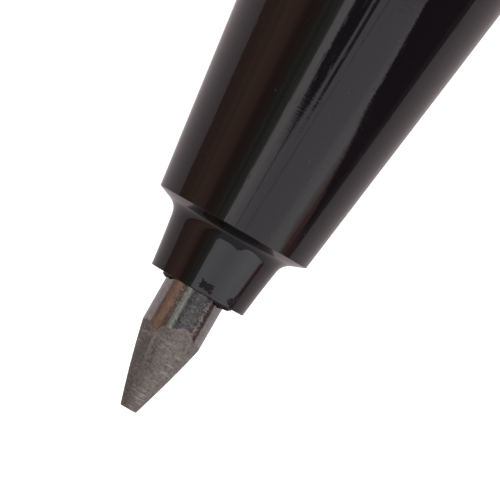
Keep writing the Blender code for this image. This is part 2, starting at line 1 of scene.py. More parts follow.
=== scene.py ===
"""The looks of a fibre-point technical pen, lying on one flat of its barrel with the cap posted.

The pen lies along X with its nib towards -X. Stations are distances along its axis from the
tip of the nib, and stations of the cap are distances from the cap's mouth. Turns round the
axis start at the top of the pen and grow towards -Y. All lengths are in metres.
"""

import math

import bmesh
import bpy
from mathutils import Matrix, Vector, noise


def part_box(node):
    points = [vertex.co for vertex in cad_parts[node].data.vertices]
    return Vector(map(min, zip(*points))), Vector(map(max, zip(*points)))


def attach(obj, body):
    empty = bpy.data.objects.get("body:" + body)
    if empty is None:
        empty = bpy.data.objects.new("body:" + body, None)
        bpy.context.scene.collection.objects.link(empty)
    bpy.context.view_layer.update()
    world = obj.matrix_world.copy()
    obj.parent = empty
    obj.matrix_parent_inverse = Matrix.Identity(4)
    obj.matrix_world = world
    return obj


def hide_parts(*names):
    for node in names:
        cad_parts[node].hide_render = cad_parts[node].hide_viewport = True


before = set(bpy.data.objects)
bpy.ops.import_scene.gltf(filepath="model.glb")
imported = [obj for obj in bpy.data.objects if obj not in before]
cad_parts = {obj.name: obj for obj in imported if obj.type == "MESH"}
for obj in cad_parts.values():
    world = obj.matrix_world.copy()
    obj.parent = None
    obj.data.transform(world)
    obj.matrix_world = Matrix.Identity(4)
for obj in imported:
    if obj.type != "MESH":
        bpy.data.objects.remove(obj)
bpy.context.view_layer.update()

MM = 0.001

# Where the CAD pieces are
NIB_LOW, NIB_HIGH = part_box("nib")
NOSE_LOW, NOSE_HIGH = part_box("nose_section")
BARREL_LOW, BARREL_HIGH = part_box("barrel")
SHELL_LOW, SHELL_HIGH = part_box("cap_shell")
AXIS_HEIGHT = (NIB_LOW.z + NIB_HIGH.z) / 2
TIP = NIB_LOW.x

# Nib: a rod of bonded fibre with a polished skin, ground to a blunt cone
NIB_RADIUS = (NIB_HIGH.z - NIB_LOW.z) / 2 + 0.012 * MM  # swollen a little by the ink
NIB_OFF_CENTRE = 0.024 * MM  # towards +Y, within its bush
NIB_TIP_RADIUS = 0.275 * MM
NIB_CONE = 2.70 * MM
NIB_TAIL_POINT = 1.6 * MM
NIB_TAIL_RADIUS = 0.45 * MM
NIB_CROWNING = 0.03 * MM  # how far the ground cone bulges in its middle
NIB_WHEEL_MARKS = 0.008 * MM  # how deep the grinding wheel cut
NIB_SKIN_WAVES = 0.0015 * MM
NIB_HAND_GROUND_FROM = 0.35  # shares of the cone, from its tip, over which it stops being true
NIB_HAND_GROUND_OVER = 0.45
NIB_ROW = 0.025 * MM
NIB_COLUMNS = 240

# Bush round the nib, with its ragged rim
BUSH_BORE = 1.03 * MM
BUSH_RADIUS = 1.20 * MM
BUSH_LENGTH = 8.0 * MM
BUSH_PROUD = 0.10 * MM

# Nose
NOSE_BORE = 1.23 * MM
NECK_MOUTH = NOSE_LOW.x - TIP
NECK_MOUTH_RADIUS = 1.64 * MM
NECK_ROOT_RADIUS = 1.92 * MM
NECK_LENGTH = 2.265 * MM
NECK_DRAFT = math.radians(9.4)
SHOULDER = NECK_MOUTH + NECK_LENGTH
SHOULDER_RADIUS = 2.62 * MM
SHOULDER_SLOPE = math.radians(21.7)
SHOULDER_FILLET = 0.50 * MM
GRIP_DRAFT = math.radians(7.56)
SEAT_RADIUS = 4.30 * MM
SEAT_BEAD_HEIGHT = 0.03 * MM
SEAT_BEAD_WIDTH = 0.8 * MM
SEAT_BEAD_PLACE = 2.1 * MM
SPIGOT_RADIUS = 3.47 * MM
SPIGOT_WALL = 0.75 * MM
BARREL_FRONT = BARREL_LOW.x - TIP
NOSE_REAR = NOSE_HIGH.x - TIP
GRIP_END = SHOULDER + (SEAT_RADIUS - SHOULDER_RADIUS) / math.tan(GRIP_DRAFT)

# Barrel
BARREL_FLAT = (BARREL_HIGH.z - BARREL_LOW.z) / 2
BARREL_CORNER = 1.35 * MM
BARREL_CHAMFER = math.radians(35.0)
BARREL_BORE = 3.50 * MM
TAIL_LENGTH = 11.0 * MM
TAIL_LEAD = 0.5 * MM
BARREL_REAR = BARREL_HIGH.x - TIP - TAIL_LENGTH
FACE_GAP = 0.05 * MM
PRESS_GAP = 0.03 * MM

# Cap
CAP_MOUTH = SHELL_LOW.x
CAP_LENGTH = SHELL_HIGH.x - SHELL_LOW.x
CAP_LIP_RADIUS = (SHELL_HIGH.y - SHELL_LOW.y) / 2
CAP_LIP_HEIGHT = 0.12 * MM
CAP_LIP_WIDTH = 1.6 * MM
CAP_RADIUS = CAP_LIP_RADIUS - CAP_LIP_HEIGHT
CAP_WALL = 0.80 * MM
CAP_BORE = CAP_RADIUS - CAP_WALL
CAP_CROWN_RADIUS = CAP_RADIUS - 0.20 * MM
CAP_INNER_SEAT = CAP_BORE - 0.40 * MM
CAP_SEAT_START = 16.75 * MM

# Crown and its disc
CROWN_HEAD = 3.5 * MM
CROWN_SPIGOT_LENGTH = 7.0 * MM
CROWN_WALL = 0.9 * MM
CROWN_FLOOR = 1.4 * MM
CROWN_EDGE = 0.6 * MM
DISC_RADIUS = 3.0 * MM
DISC_THICKNESS = 0.7 * MM
DISC_PROUD = 0.1 * MM
DISC_PIN_RADIUS = 0.8 * MM
DISC_PIN_LENGTH = 1.2 * MM
DISC_RIM_GAP = 0.4 * MM

# End plug
PLUG_STEM = 5.45 * MM
PLUG_HEAD = 1.0 * MM
PLUG_HEAD_RADIUS = 4.05 * MM
PLUG_WALL = 0.75 * MM
PLUG_FLOOR = 1.2 * MM

# Clip
CLIP_THICKNESS = 0.45 * MM
CLIP_WIDTH = 3.2 * MM
CLIP_TIP_WIDTH = 2.4 * MM
CLIP_TIP_FLAT = 0.7 * MM
CLIP_LENGTH = 31.0 * MM
CLIP_ROOT = CAP_LENGTH - 3.2 * MM
CLIP_ROOT_RISE = 1.1 * MM
CLIP_BUMP_GAP = 0.10 * MM
CLIP_TIP_RISE = 0.9 * MM
CLIP_BUMP_TO_TIP = 3.4 * MM
CLIP_SLOT_GAP = 0.30 * MM
CLIP_BEND = 0.8 * MM
CLIP_HEEL = 0.35 * MM
CLIP_FOOT_LENGTH = 1.8 * MM
CLIP_FOOT_DROP = 0.10 * MM
CLIP_EDGE = 0.12 * MM

FACETS = 160
NOSE_FACETS = 240
CARDS_END = -0.066  # the cards over the nose reach no further along the pen
ROUNDING_STEPS = 4
SHARP_ANGLE = math.radians(28)


# ---------------- shapes


def arc(centre, radius, start, end, steps=8):
    """Points of an arc round (x, y), from one turn to another."""
    x, y = centre
    turns = [start + (end - start) * step / steps for step in range(steps + 1)]
    return [(x + radius * math.cos(turn), y + radius * math.sin(turn)) for turn in turns]


def softened(corners):
    """Outline of (station, radius) points from (station, radius, rounding) corners.

    Each rounding has one more point just outside either end, so that it doesn't bend the
    shading of the long straight runs beside it.
    """
    points = []
    count = len(corners)
    for number, (x, y, rounding) in enumerate(corners):
        corner = Vector((x, y))
        before = Vector(corners[number - 1][:2]) - corner
        after = Vector(corners[(number + 1) % count][:2]) - corner
        if not rounding:
            points.append(corner)
            continue
        half = before.angle(after) / 2
        reach = min(rounding / math.tan(half), 0.45 * before.length, 0.45 * after.length)
        start = corner + before.normalized() * reach
        end = corner + after.normalized() * reach
        points.append(corner + before.normalized() * min(1.5 * reach, 0.49 * before.length))
        for step in range(ROUNDING_STEPS + 1):
            share = step / ROUNDING_STEPS
            points.append(start.lerp(corner, share).lerp(corner.lerp(end, share), share))
        points.append(corner + after.normalized() * min(1.5 * reach, 0.49 * after.length))
    return [(point.x, point.y) for point in points]


def object_from(name, bm):
    bmesh.ops.recalc_face_normals(bm, faces=bm.faces)
    mesh = bpy.data.meshes.new(name)
    bm.to_mesh(mesh)
    bm.free()
    made = bpy.data.objects.new(name, mesh)
    bpy.context.scene.collection.objects.link(made)
    mesh.shade_smooth()
    mesh.set_sharp_from_angle(angle=SHARP_ANGLE)
    return made


def finish(made, material, body, node):
    """Gives a piece its material and the body it moves with, and hides the CAD node it stands for."""
    made.data.materials.append(material)
    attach(made, body)
    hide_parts(node)


def even_turns(count):
    return [math.tau * number / count for number in range(count)]


def lathed(name, outline_at, origin, turns=None, closed=True):
    """A round piece. outline_at(turn) gives its outline of (station, radius) points there.

    Every outline has the same number of points. A radius of zero is a point on the axis.
    """
    turns = turns or even_turns(FACETS)
    bm = bmesh.new()
    outlines = [outline_at(turn) for turn in turns]
    on_axis = {}
    rings = []
    for turn, outline in zip(turns, outlines):
        ring = []
        for place, (station, radius) in enumerate(outline):
            if radius == 0.0:
                if place not in on_axis:
                    on_axis[place] = bm.verts.new((origin + station, 0.0, AXIS_HEIGHT))
                ring.append(on_axis[place])
            else:
                across = -radius * math.sin(turn)
                up = AXIS_HEIGHT + radius * math.cos(turn)
                ring.append(bm.verts.new((origin + station, across, up)))
        rings.append(ring)
    length = len(rings[0])
    for ring, after in zip(rings, rings[1:] + rings[:1]):
        for place in range(length if closed else length - 1):
            following = (place + 1) % length
            corners = [ring[place], after[place], after[following], ring[following]]
            distinct = list(dict.fromkeys(corners))
            if len(distinct) > 2:
                bm.faces.new(distinct)
    return object_from(name, bm)


def turned(name, outline, origin=None):
    return lathed(name, lambda turn: outline, TIP if origin is None else origin)


# ---------------- materials


def linear(hex_colour):
    """An sRGB hex colour as linear values."""
    channels = [int(hex_colour[place : place + 2], 16) / 255 for place in (1, 3, 5)]
    return [c / 12.92 if c <= 0.04045 else ((c + 0.055) / 1.055) ** 2.4 for c in channels]


def rgba(hex_colour):
    return (*linear(hex_colour), 1.0)


def grain(along, across, up):
    """Mapping scale that makes a noise so many millimetres coarse along X, Y and Z."""
    return tuple(1 / (size * MM) for size in (along, across, up))


# What a Mix node of colours or of plain values is set to, and which of its outputs that fills.
# Its two colours are inputs 6 and 7, its two values are inputs 2 and 3.
COLOUR_MIX, MIXED_COLOUR = {"data_type": "RGBA"}, 2
VALUE_MIX, MIXED_VALUE = {"data_type": "FLOAT"}, 0


def add(tree, kind, output, settings=None, **inputs):
    """Adds a shader node with its settings and its inputs, and gives one of its outputs.

    An input takes a value or another node's output. Its name has _ for a space, and i0 or i1
    stands for an input by its place.
    """
    node = tree.nodes.new("ShaderNode" + kind)
    for name, value in (settings or {}).items():
        setattr(node, name, value)
    for name, value in inputs.items():
        by_place = name[0] == "i" and name[1:].isdigit()
        socket = node.inputs[int(name[1:]) if by_place else name.replace("_", " ")]
        if isinstance(value, bpy.types.NodeSocket):
            tree.links.new(value, socket)
        else:
            socket.default_value = value
    return node.outputs[output]


def start_material(name, **looks):
    """A material, its tree and its coordinates, which are the world's at rest."""
    material = bpy.data.materials.new(name)
    material.use_nodes = True
    tree = material.node_tree
    shader = tree.nodes["Principled BSDF"]
    for socket, value in looks.items():
        shader.inputs[socket.replace("_", " ")].default_value = value
    return material, tree, add(tree, "TexCoord", "Object")


def surfaced(material, **outputs):
    """The material, with a node's output fed into each named socket of its shader."""
    tree = material.node_tree
    shader = tree.nodes["Principled BSDF"]
    for socket, output in outputs.items():
        tree.links.new(output, shader.inputs[socket.replace("_", " ")])
    return material


def black_moulded_polystyrene():
    """Black polystyrene, injection moulded in a polished steel mould.

    It gives a deep gloss. The mould was turned, so fine rings run round the piece and fray the
    long edges of every reflection. Drawing it out of the mould left a few hairlines along it,
    and handling left faint smudges and specks of dust.
    """
    material, tree, place = start_material("black_moulded_polystyrene", Base_Color=rgba("#0a090b"), IOR=1.5)
    ring_place = add(tree, "Mapping", "Vector", Vector=place, Scale=grain(0.07, 0.7, 0.7))
    rings = add(tree, "TexNoise", "Fac", Vector=ring_place, Scale=1.0, Detail=2.0)
    drag_place = add(tree, "Mapping", "Vector", Vector=place, Scale=grain(14, 0.09, 0.09))
    drag = add(tree, "TexNoise", "Fac", Vector=drag_place, Scale=1.0, Detail=1.0)
    hairlines = add(tree, "MapRange", "Result", Value=drag, From_Min=0.66, From_Max=0.74)
    peel_place = add(tree, "Mapping", "Vector", Vector=place, Scale=grain(1.6, 1.1, 1.1))
    peel = add(tree, "TexNoise", "Fac", Vector=peel_place, Scale=1.0, Detail=0.0)
    rings_relief = add(tree, "Bump", "Normal", Height=rings, Distance=0.0007 * MM)
    hairline_relief = add(
        tree, "Bump", "Normal", Height=hairlines, Distance=0.0006 * MM, Normal=rings_relief
    )
    relief = add(tree, "Bump", "Normal", Height=peel, Distance=0.0018 * MM, Normal=hairline_relief)
    smudge_place = add(tree, "Mapping", "Vector", Vector=place, Scale=grain(2.4, 1.5, 1.5))
    smudges = add(tree, "TexNoise", "Fac", Vector=smudge_place, Scale=1.0, Detail=5.0, Roughness=0.65)
    gloss = add(
        tree, "MapRange", "Result", Value=smudges, From_Min=0.40, From_Max=0.75, To_Min=0.04, To_Max=0.10
    )
    # A little coarser than real dust, so that it shows
    dust_place = add(tree, "Mapping", "Vector", Vector=place, Scale=grain(0.11, 0.11, 0.11))
    dust = add(tree, "TexNoise", "Fac", Vector=dust_place, Scale=1.0, Detail=1.0)
    specks = add(tree, "MapRange", "Result", Value=dust, From_Min=0.76, From_Max=0.82)
    colour = add(
        tree, "Mix", MIXED_COLOUR, COLOUR_MIX, Factor=specks, i6=rgba("#0a090b"), i7=rgba("#2b2a2b")
    )
    return surfaced(material, Base_Color=colour, Roughness=gloss, Normal=relief)


def drawn_fibre_skin():
    """The skin of the nib: fibres bonded with resin and drawn through a hot die.

    It mirrors dully, like pencil lead, with fine pits and faint streaks along it.
    """
    material, tree, place = start_material("drawn_fibre_skin", Metallic=1.0)
    # Streaks as wide as a bundle of fibres, since a single one is only 0.03 mm
    streak_place = add(tree, "Mapping", "Vector", Vector=place, Scale=grain(5, 0.14, 0.14))
    streaks = add(tree, "TexNoise", "Fac", Vector=streak_place, Scale=1.0, Detail=2.0)
    blotch_place = add(tree, "Mapping", "Vector", Vector=place, Scale=grain(0.16, 0.22, 0.22))
    blotches = add(tree, "TexNoise", "Fac", Vector=blotch_place, Scale=1.0, Detail=4.0, Roughness=0.7)
    pit_place = add(tree, "Mapping", "Vector", Vector=place, Scale=grain(0.07, 0.06, 0.06))
    pits = add(tree, "TexNoise", "Fac", Vector=pit_place, Scale=1.0, Detail=2.0)
    mottle = add(tree, "Mix", MIXED_VALUE, VALUE_MIX, Factor=0.35, i2=blotches, i3=streaks)
    cover = add(tree, "MapRange", "Result", Value=mottle, From_Min=0.40, From_Max=0.62)
    colour = add(
        tree, "Mix", MIXED_COLOUR, COLOUR_MIX, Factor=cover, i6=rgba("#888887"), i7=rgba("#9d9d99")
    )
    gloss = add(
        tree, "MapRange", "Result", Value=pits, From_Min=0.35, From_Max=0.70, To_Min=0.13, To_Max=0.22
    )
    relief = add(tree, "Bump", "Normal", Height=pits, Distance=0.0024 * MM)
    return surfaced(material, Base_Color=colour, Roughness=gloss, Normal=relief)


def ground_fibre():
    """The ground cone of the nib: cut fibre ends, matt, with short scratches round it from the
    grinding wheel. Painted glints light up the scratches in patches, and pits hold dark ink."""
    material, tree, place = start_material("ground_fibre", Metallic=0.35, Roughness=0.5)
    scratch_place = add(tree, "Mapping", "Vector", Vector=place, Scale=grain(0.055, 0.36, 0.36))
    scratches = add(tree, "TexNoise", "Fac", Vector=scratch_place, Scale=1.0, Detail=3.0, Roughness=0.6)
    pit_place = add(tree, "Mapping", "Vector", Vector=place, Scale=grain(0.08, 0.10, 0.10))
    pits = add(tree, "TexNoise", "Fac", Vector=pit_place, Scale=1.0, Detail=4.0, Roughness=0.65)
    patch_place = add(tree, "Mapping", "Vector", Vector=place, Scale=grain(0.8, 0.7, 0.7))
    patches = add(tree, "TexNoise", "Fac", Vector=patch_place, Scale=1.0, Detail=1.0)
    # Painted glint: in some patches the scratches are painted lighter, for ridges catching the light
    scratch_glints = add(tree, "MapRange", "Result", Value=scratches, From_Min=0.52, From_Max=0.68)
    glint_patches = add(tree, "MapRange", "Result", Value=patches, From_Min=0.42, From_Max=0.60)
    bright = add(tree, "Math", "Value", {"operation": "MULTIPLY"}, i0=scratch_glints, i1=glint_patches)
    inky = add(tree, "MapRange", "Result", Value=pits, From_Min=0.34, From_Max=0.56, To_Min=1.0, To_Max=0.0)
    body = add(tree, "Mix", MIXED_COLOUR, COLOUR_MIX, Factor=inky, i6=rgba("#655c57"), i7=rgba("#46403c"))
    # The lighter colour mixed in here is a painted glint, not a colour of the fibre
    colour = add(tree, "Mix", MIXED_COLOUR, COLOUR_MIX, Factor=bright, i6=body, i7=rgba("#8a8581"))
    height = add(tree, "Math", "Value", {"operation": "ADD"}, i0=scratches, i1=pits)
    relief = add(tree, "Bump", "Normal", Height=height, Distance=0.014 * MM)
    return surfaced(material, Base_Color=colour, Normal=relief)


def dried_ink():
    """Black ink dried in lumps on the rim of the bush, dark red where it is thin."""
    material, tree, place = start_material("dried_ink", Roughness=0.45, Specular_IOR_Level=0.15)
    lump_place = add(tree, "Mapping", "Vector", Vector=place, Scale=grain(0.09, 0.12, 0.12))
    lumps = add(tree, "TexNoise", "Fac", Vector=lump_place, Scale=1.0, Detail=3.0)
    thin = add(tree, "MapRange", "Result", Value=lumps, From_Min=0.56, From_Max=0.74)
    colour = add(tree, "Mix", MIXED_COLOUR, COLOUR_MIX, Factor=thin, i6=rgba("#100d10"), i7=rgba("#4a1f2a"))
    relief = add(tree, "Bump", "Normal", Height=lumps, Distance=0.03 * MM)
    return surfaced(material, Base_Color=colour, Normal=relief)


def rolled_spring_steel():
    """Spring-steel strip, bright rolled, so fine lines run along it and stretch its highlights.
    Pockets wear it a little duller in patches."""
    material, tree, place = start_material("rolled_spring_steel", Base_Color=rgba("#bcbdbf"), Metallic=1.0)
    # Coarser than real rolling lines, which are about 0.01 mm
    line_place = add(tree, "Mapping", "Vector", Vector=place, Scale=grain(9, 0.05, 0.05))
    lines = add(tree, "TexNoise", "Fac", Vector=line_place, Scale=1.0, Detail=2.0)
    wear_place = add(tree, "Mapping", "Vector", Vector=place, Scale=grain(4, 1.2, 1.2))
    wear = add(tree, "TexNoise", "Fac", Vector=wear_place, Scale=1.0, Detail=4.0)
    sheen = add(tree, "Mix", MIXED_VALUE, VALUE_MIX, Factor=0.5, i2=lines, i3=wear)
    gloss = add(
        tree, "MapRange", "Result", Value=sheen, From_Min=0.35, From_Max=0.65, To_Min=0.16, To_Max=0.30
    )
    relief = add(tree, "Bump", "Normal", Height=lines, Distance=0.0015 * MM)
    return surfaced(material, Roughness=gloss, Normal=relief)


def satin_plastic(name, dark, light, dull, shiny, grain_mm):
    """A moulded plastic with faint flow marks in its colour and a fine satin grain."""
    material, tree, place = start_material(name)
    flow_place = add(tree, "Mapping", "Vector", Vector=place, Scale=grain(2.0, 0.9, 0.9))
    flow = add(tree, "TexNoise", "Fac", Vector=flow_place, Scale=1.0, Detail=3.0)
    marks = add(tree, "MapRange", "Result", Value=flow, From_Min=0.3, From_Max=0.7)
    colour = add(tree, "Mix", MIXED_COLOUR, COLOUR_MIX, Factor=marks, i6=rgba(dark), i7=rgba(light))
    satin_place = add(tree, "Mapping", "Vector", Vector=place, Scale=grain(grain_mm, grain_mm, grain_mm))
    satin = add(tree, "TexNoise", "Fac", Vector=satin_place, Scale=1.0, Detail=2.0)
    gloss = add(
        tree, "MapRange", "Result", Value=satin, From_Min=0.3, From_Max=0.7, To_Min=shiny, To_Max=dull
    )
    relief = add(tree, "Bump", "Normal", Height=satin, Distance=0.004 * MM)
    return surfaced(material, Base_Color=colour, Roughness=gloss, Normal=relief)


def inked_fibre():
    """Acetate fibre tow, soaked with black ink: fine fibres along it, damp sheen."""
    material, tree, place = start_material("inked_fibre", Roughness=0.7)
    # Bundles of fibres, since a single one is only 0.03 mm
    fibre_place = add(tree, "Mapping", "Vector", Vector=place, Scale=grain(6, 0.08, 0.08))
    fibres = add(tree, "TexNoise", "Fac", Vector=fibre_place, Scale=1.0, Detail=3.0)
    spread = add(tree, "MapRange", "Result", Value=fibres, From_Min=0.3, From_Max=0.7)
    colour = add(
        tree, "Mix", MIXED_COLOUR, COLOUR_MIX, Factor=spread, i6=rgba("#17171c"), i7=rgba("#34343d")
    )
    relief = add(tree, "Bump", "Normal", Height=fibres, Distance=0.03 * MM)
    return surfaced(material, Base_Color=colour, Normal=relief)


# ---------------- nib and bush


def lobe(turn, middle, width):
    """1 at the middle turn, falling away smoothly over the width, in degrees."""
    off = (math.degrees(turn) - middle + 180) % 360 - 180
    return math.exp(-((off / width) ** 2))


def grinding_offset(turn):
    """How much fuller the ground cone is at a turn: it was ground by hand, so it isn't true.

    Where it is fuller, the edge of the ground face comes further forward along the rod.
    """
    spike = 0.066 * MM * lobe(turn, -29.5, 6)
    hollow = -0.020 * MM * lobe(turn, 0, 40) - 0.055 * MM * lobe(turn, 22, 24)
    far_side = 0.02 * MM * math.sin(5 * turn + 0.6) * lobe(turn, 180, 70)
    wobble = 0.006 * MM * math.sin(9 * turn + 1.0)
    return spike + hollow + far_side + wobble


def cone_radius(station, turn):
    """Radius of the ground cone, before it meets the rod."""
    share = station / NIB_CONE
    straight = NIB_TIP_RADIUS + (NIB_RADIUS - NIB_TIP_RADIUS) * share
    crowned = straight + 4 * NIB_CROWNING * share * (1 - share)
    fade = min(1.0, max(0.0, (share - NIB_HAND_GROUND_FROM) / NIB_HAND_GROUND_OVER))
    return crowned + grinding_offset(turn) * fade


def nib_surface(station, turn):
    """(radius, whether it is ground) of the nib at a place on its surface."""
    around = Vector((station, NIB_RADIUS * math.sin(turn), NIB_RADIUS * math.cos(turn))) / MM
    # Each noise has about so many lumps to a millimetre.
    rough = noise.noise(around * 14) + 0.6 * noise.noise(around * 31)
    cut = cone_radius(station, turn) + NIB_WHEEL_MARKS * rough
    skin = NIB_RADIUS - NIB_SKIN_WAVES * (1 + noise.noise(around * 9))
    ground = cut < skin
    return (min(cut, NIB_RADIUS) if ground else skin), ground


def nib():
    """The nib, ground in front, polished where it is bare and pointed behind."""
    length = NIB_HIGH.x - NIB_LOW.x
    fine_end = NECK_MOUTH + 0.6 * MM  # a little way into the bush, out of sight
    rows = round(fine_end / NIB_ROW)
    stations = [fine_end * row / rows for row in range(rows + 1)]

    def outline_at(turn):
        points = [(0.0, 0.0), (0.0, 0.6 * NIB_TIP_RADIUS)]
        points += [(station, nib_surface(station, turn)[0]) for station in stations]
        tail = [(length - NIB_TAIL_POINT, NIB_RADIUS), (length, NIB_TAIL_RADIUS), (length, 0.0)]
        return points + tail

    made = lathed("nib_detailed", outline_at, TIP, even_turns(NIB_COLUMNS), closed=False)
    finish(made, drawn_fibre_skin(), "pen", "nib")
    made.data.materials.append(ground_fibre())
    for point in made.data.vertices:
        point.co.y += NIB_OFF_CENTRE
    for face in made.data.polygons:
        centre = face.center
        station = centre.x - TIP
        turn = math.atan2(NIB_OFF_CENTRE - centre.y, centre.z - AXIS_HEIGHT)
        # One row further back than the cut itself: its edge is worn matt as well.
        if station < NECK_MOUTH and nib_surface(station - NIB_ROW, turn)[1]:
            face.material_index = 1


def nib_bush():
    """The bush, whose rim carries moulding flash and dried ink in lumps."""
    front = NECK_MOUTH

    def outline_at(turn):
        around = Vector((math.sin(turn), math.cos(turn), 0.3))
        lumps = noise.noise(around * 6) + 0.7 * noise.noise(around * 17)
        # Thickest at both sides, where the mould's halves met, and underneath
        body = 0.12 + lobe(turn, -75, 20) + lobe(turn, 58, 26) + 0.4 * lobe(turn, 180, 60)
        proud = BUSH_PROUD * max(0.05, body + (0.2 + 0.7 * min(1.0, body)) * lumps)
        spill = 0.12 * MM * lobe(turn, 68, 16) + 0.02 * MM * lumps
        outer = BUSH_RADIUS + max(0.0, spill)
        return [
            (front + BUSH_LENGTH, BUSH_BORE),
            (front - 0.3 * proud, BUSH_BORE),
            (front - 0.9 * proud, BUSH_BORE + 0.03 * MM),
            (front - proud, (BUSH_BORE + outer) / 2),
            (front - 0.8 * proud, outer - 0.02 * MM),
            (front - 0.02 * MM, outer),
            (front - 0.005 * MM, BUSH_RADIUS),
            (front + BUSH_LENGTH, BUSH_RADIUS),
        ]

    made = lathed("nib_bush_detailed", outline_at, TIP, even_turns(NIB_COLUMNS))
    finish(made, dried_ink(), "pen", "nib_bush")


# ---------------- nose


def neck_outline():
    """The neck: straight at its mouth, sweeping out to its full slope, then the fillet."""
    fillet_turn = math.pi / 2 - SHOULDER_SLOPE - NECK_DRAFT
    tangent = SHOULDER_FILLET * math.tan(fillet_turn / 2)
    corner_station = SHOULDER - (SHOULDER_RADIUS - NECK_ROOT_RADIUS) * math.tan(SHOULDER_SLOPE)
    end_station = corner_station - tangent * math.cos(NECK_DRAFT)
    end_radius = NECK_ROOT_RADIUS - tangent * math.sin(NECK_DRAFT)
    run = end_station - NECK_MOUTH
    bend = (NECK_MOUTH_RADIUS - end_radius + run * math.tan(NECK_DRAFT)) / run**2
    points = []
    rows = 40
    for row in range(1, rows):
        back = run * (1 - row / rows)
        radius = end_radius - back * math.tan(NECK_DRAFT) + bend * back**2
        points.append((end_station - back, radius))
    centre_station = end_station - SHOULDER_FILLET * math.sin(NECK_DRAFT)
    centre_radius = end_radius + SHOULDER_FILLET * math.cos(NECK_DRAFT)
    start = NECK_DRAFT - math.pi / 2
    centre = (centre_station, centre_radius)
    return points + arc(centre, SHOULDER_FILLET, start, start + fillet_turn, steps=14)


def ink_spot(point):
    """Whether ink has dried on the neck there: one ragged square spot, and two small ones."""
    back = (point.x - TIP - NECK_MOUTH) / MM
    turn = math.degrees(math.atan2(-point.y, point.z - AXIS_HEIGHT))
    ragged = noise.noise(point / MM * 9)
    # Each is 1 at the edge of its spot: how far back its middle is, in millimetres, and its turn
    square = max(abs(back - 0.26) / 0.13, abs(turn - 7.0) / 8.0)
    low_spot = math.hypot((back - 0.22) / 0.11, (turn - 41.0) / 5.0)
    high_spot = math.hypot((back - 0.42) / 0.10, (turn - 45.0) / 3.5)
    on_outside = math.hypot(point.y, point.z - AXIS_HEIGHT) > NOSE_BORE + 0.2 * MM
    return on_outside and 0.0 < back < 0.8 and min(square, low_spot, high_spot) + 0.5 * ragged < 1.0


def nose_section(plastic):
    """The front moulding: neck, shoulder, tapered grip, cap seat with its snap bead, spigot."""
    mouth_edge = 0.03 * MM
    step_edge = 0.06 * MM
    bead = BARREL_FRONT - SEAT_BEAD_PLACE
    half = SEAT_BEAD_WIDTH / 2
    inner = SPIGOT_RADIUS - SPIGOT_WALL
    front = [
        (NECK_MOUTH + 8 * MM, NOSE_BORE, 0.0),
        (NECK_MOUTH, NOSE_BORE, mouth_edge),
        (NECK_MOUTH, NECK_MOUTH_RADIUS, mouth_edge),
    ]
    rear = [
        (SHOULDER, SHOULDER_RADIUS, 0.022 * MM),
        (GRIP_END, SEAT_RADIUS, 1.2 * MM),
        (bead - half, SEAT_RADIUS, 0.1 * MM),
        (bead, SEAT_RADIUS + SEAT_BEAD_HEIGHT, 0.3 * MM),
        (bead + half, SEAT_RADIUS, 0.1 * MM),
        (BARREL_FRONT - FACE_GAP, SEAT_RADIUS, step_edge),
        (BARREL_FRONT - FACE_GAP, SPIGOT_RADIUS, 0.0),
        (NOSE_REAR, SPIGOT_RADIUS, 0.3 * MM),
        (NOSE_REAR, inner, 0.0),
        (NOSE_REAR - 8 * MM, inner, 0.0),
    ]
    corners = front + [(*point, 0.0) for point in neck_outline()] + rear
    outline = softened(corners)
    made = lathed("nose_section_detailed", lambda turn: outline, TIP, even_turns(NOSE_FACETS))
    finish(made, plastic, "pen", "nose_section")
    made.data.materials.append(dried_ink())
    for face in made.data.polygons:
        if ink_spot(face.center):
            face.material_index = 1


# ---------------- barrel


def hexagon_radius(turn):
    """Distance from the axis to the rounded six-sided outline at a turn."""
    off = abs(math.radians((math.degrees(turn) + 30) % 60 - 30))
    reach = (BARREL_FLAT - BARREL_CORNER) * math.tan(math.pi / 6)
    if BARREL_FLAT * math.tan(off) <= reach:
        return BARREL_FLAT / math.cos(off)
    centre = (BARREL_FLAT - BARREL_CORNER) / math.cos(math.pi / 6)
    away = math.pi / 6 - off
    side = centre * math.sin(away)
    return centre * math.cos(away) + math.sqrt(BARREL_CORNER**2 - side**2)


def hexagon_turns():
    """Turns for the barrel's columns: few on the flats, many round the corners."""
    flat_end = math.atan((BARREL_FLAT - BARREL_CORNER) * math.tan(math.pi / 6) / BARREL_FLAT)
    flat_shares = (-1.0, -0.97, -0.9, -0.7, -0.35, 0.0, 0.35, 0.7, 0.9, 0.97)
    corner_steps = 14
    turns = []
    for side in range(6):
        middle = math.tau * side / 6
        turns += [middle + flat_end * share for share in flat_shares]
        corner = math.tau / 6 - 2 * flat_end
        for step in range(corner_steps):
            turns.append(middle + flat_end + corner * step / corner_steps)
    return turns


def barrel(plastic):
    """Six-sided tube. Its ends are turned to a cone, which leaves an arc on each flat."""
    end_radius = (SEAT_RADIUS + BARREL_FLAT) / 2
    slope = math.tan(BARREL_CHAMFER)
    crease = 0.12 * MM
    tail_end = BARREL_REAR + TAIL_LENGTH

    def outline_at(turn):
        side = hexagon_radius(turn)
        run = (side - end_radius) / slope
        return softened(
            [
                (BARREL_FRONT, BARREL_BORE, 0.0),
                (BARREL_FRONT, end_radius, 0.05 * MM),
                (BARREL_FRONT + run, side, crease),
                (BARREL_FRONT + 4 * MM, side, 0.0),  # keeps the shading flat beyond it
                (BARREL_REAR - 4 * MM, side, 0.0),
                (BARREL_REAR - run, side, crease),
                (BARREL_REAR, end_radius, 0.05 * MM),
                (BARREL_REAR, SEAT_RADIUS, 0.0),
                (tail_end, SEAT_RADIUS, TAIL_LEAD),
                (tail_end, BARREL_BORE, 0.1 * MM),
            ]
        )

    made = lathed("barrel_detailed", outline_at, TIP, hexagon_turns())
    finish(made, plastic, "pen", "barrel")


# ---------------- plug, cap and clip


